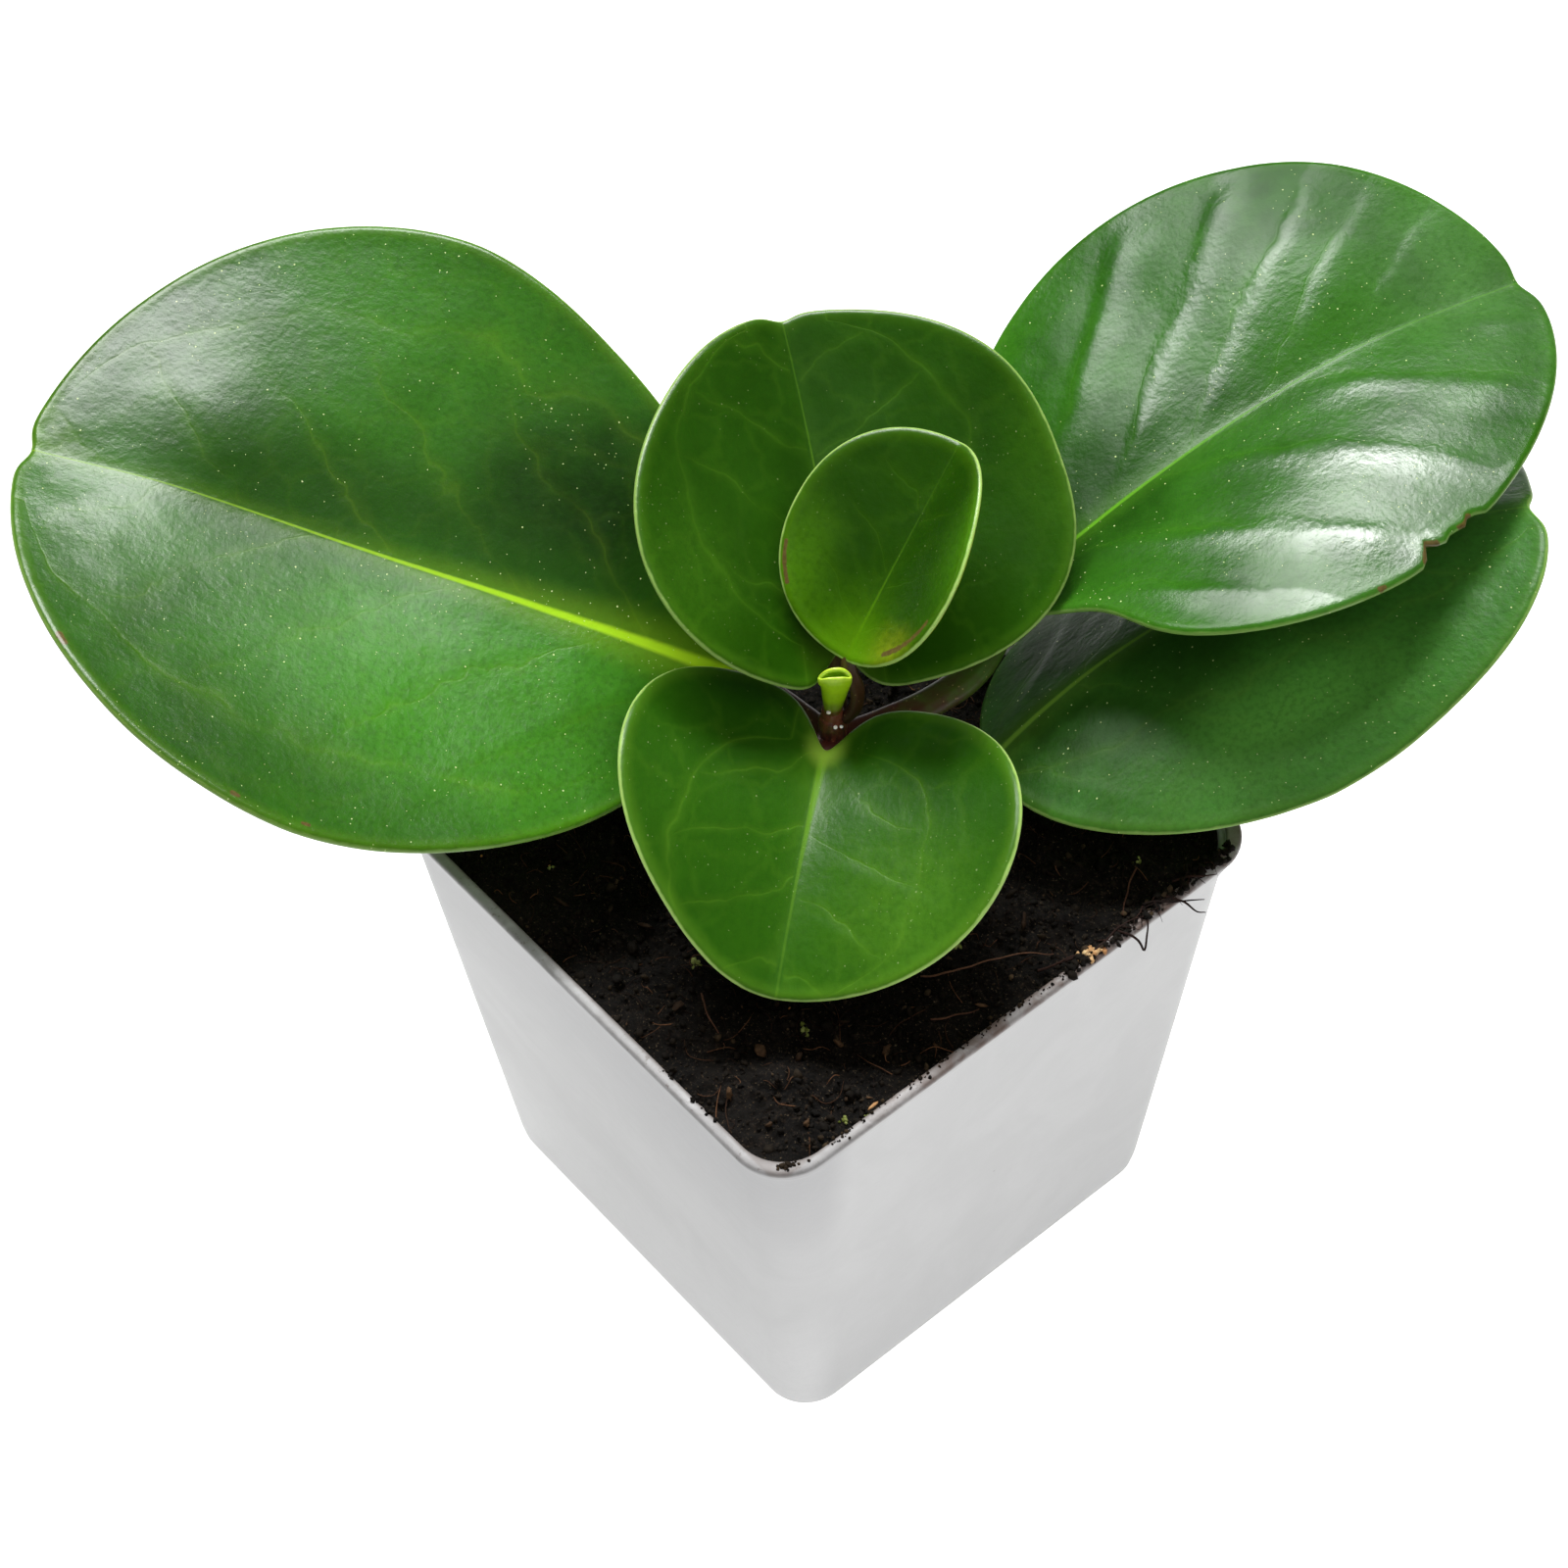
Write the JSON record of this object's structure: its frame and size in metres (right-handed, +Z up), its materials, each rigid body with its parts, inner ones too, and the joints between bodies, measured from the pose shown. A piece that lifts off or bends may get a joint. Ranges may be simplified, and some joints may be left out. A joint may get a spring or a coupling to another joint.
{
  "type": "potted peperomia",
  "caption": "Young peperomia with broad round fleshy leaves on short stalks, rooted in peat in a square tapered plastic pot.",
  "frame": {"origin": "centre of the pot's foot, on the surface the pot stands on", "axes": "+Z up, X and Y square to the pot's flat sides; the two large right-hand leaves reach towards +Y and the large left-hand leaf towards -X and -Y"},
  "size_m": [0.1632, 0.1995, 0.1396],
  "materials": {
    "pot": "matte",
    "soil": "matte",
    "stem": "satin",
    "bud": "satin",
    "old_leaf": "satin",
    "new_leaf": "satin"
  },
  "bodies": {
    "root": {"pot": "pot", "soil": "soil", "stem": "stem", "bud": "bud", "leaf_left": "old_leaf", "leaf_back": "new_leaf", "leaf_front": "new_leaf", "leaf_young": "new_leaf", "leaf_upper_right": "old_leaf", "leaf_lower_right": "old_leaf"}
  },
  "joints": []
}
